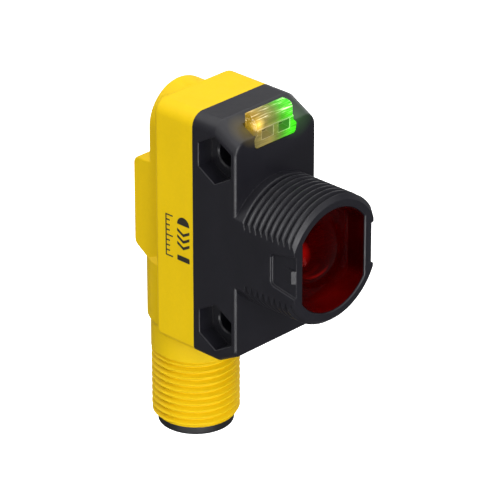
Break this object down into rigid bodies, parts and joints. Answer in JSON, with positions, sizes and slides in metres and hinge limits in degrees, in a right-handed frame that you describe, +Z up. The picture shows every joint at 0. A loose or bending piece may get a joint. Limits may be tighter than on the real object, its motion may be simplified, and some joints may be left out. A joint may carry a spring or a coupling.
{
  "type": "photoelectric sensor",
  "caption": "Block-shaped photoelectric sensor with a threaded lens barrel on its front, side screw holes, status lamps and a threaded plug connector underneath.",
  "frame": {"origin": "where the lens axis meets the flat front of the body, at the root of the threaded barrel", "axes": "-Y along the light beam, out of the lens; +Z up, away from the connector; +X to the right seen from the front"},
  "size_m": [0.015, 0.0317, 0.0507],
  "materials": {
    "yellow_plastic": "moulded, fine satin",
    "black_plastic": "moulded, fine satin",
    "red_acrylic": "polished dark red acrylic",
    "clear_plastic": "polished clear plastic",
    "rubber": "matt black rubber",
    "red_epoxy": "clear red epoxy",
    "dark_epoxy": "dark moulding compound",
    "circuit_board": "green solder mask",
    "tinned_steel": "tinned",
    "amber_epoxy": "amber epoxy",
    "green_epoxy": "green epoxy",
    "ceramic": "fired ceramic",
    "blue_plastic": "moulded blue",
    "white_plastic": "moulded white",
    "gold_plate": "gold plated brass",
    "brown_wire": "insulated wire",
    "white_wire": "insulated wire",
    "blue_wire": "insulated wire",
    "black_wire": "insulated wire"
  },
  "bodies": {
    "sensor_body": {"rear_housing": "yellow_plastic", "front_cover": "black_plastic", "lens": "red_acrylic", "lens_seal": "rubber", "light_pipe": "clear_plastic", "optics_carrier": "black_plastic", "emitter_led": "red_epoxy", "receiver_photodiode": "dark_epoxy", "optics_board": "circuit_board", "board_link": "dark_epoxy", "receiver_shield": "tinned_steel", "main_board": "circuit_board", "amber_led": "amber_epoxy", "green_led": "green_epoxy", "controller_chip": "dark_epoxy", "voltage_regulator": "dark_epoxy", "output_transistor_1": "dark_epoxy", "output_transistor_2": "dark_epoxy", "supply_capacitor": "ceramic", "filter_capacitor": "ceramic", "protection_diode": "dark_epoxy", "gain_pot_body": "blue_plastic", "gain_pot_seal": "rubber", "connector_insert": "black_plastic", "insert_seal": "rubber", "contact_pin_1": "gold_plate", "lead_wire_1": "brown_wire", "contact_pin_2": "gold_plate", "lead_wire_2": "white_wire", "contact_pin_3": "gold_plate", "lead_wire_3": "blue_wire", "contact_pin_4": "gold_plate", "lead_wire_4": "black_wire"},
    "gain_rotor": {"gain_pot_rotor": "white_plastic"}
  },
  "joints": [
    {"name": "gain_adjust", "type": "hinge", "parent": "sensor_body", "child": "gain_rotor", "pos_m": [0, 0.016, 0.01175], "axis": [0, -1, 0], "range_deg": [-135, 135]}
  ]
}
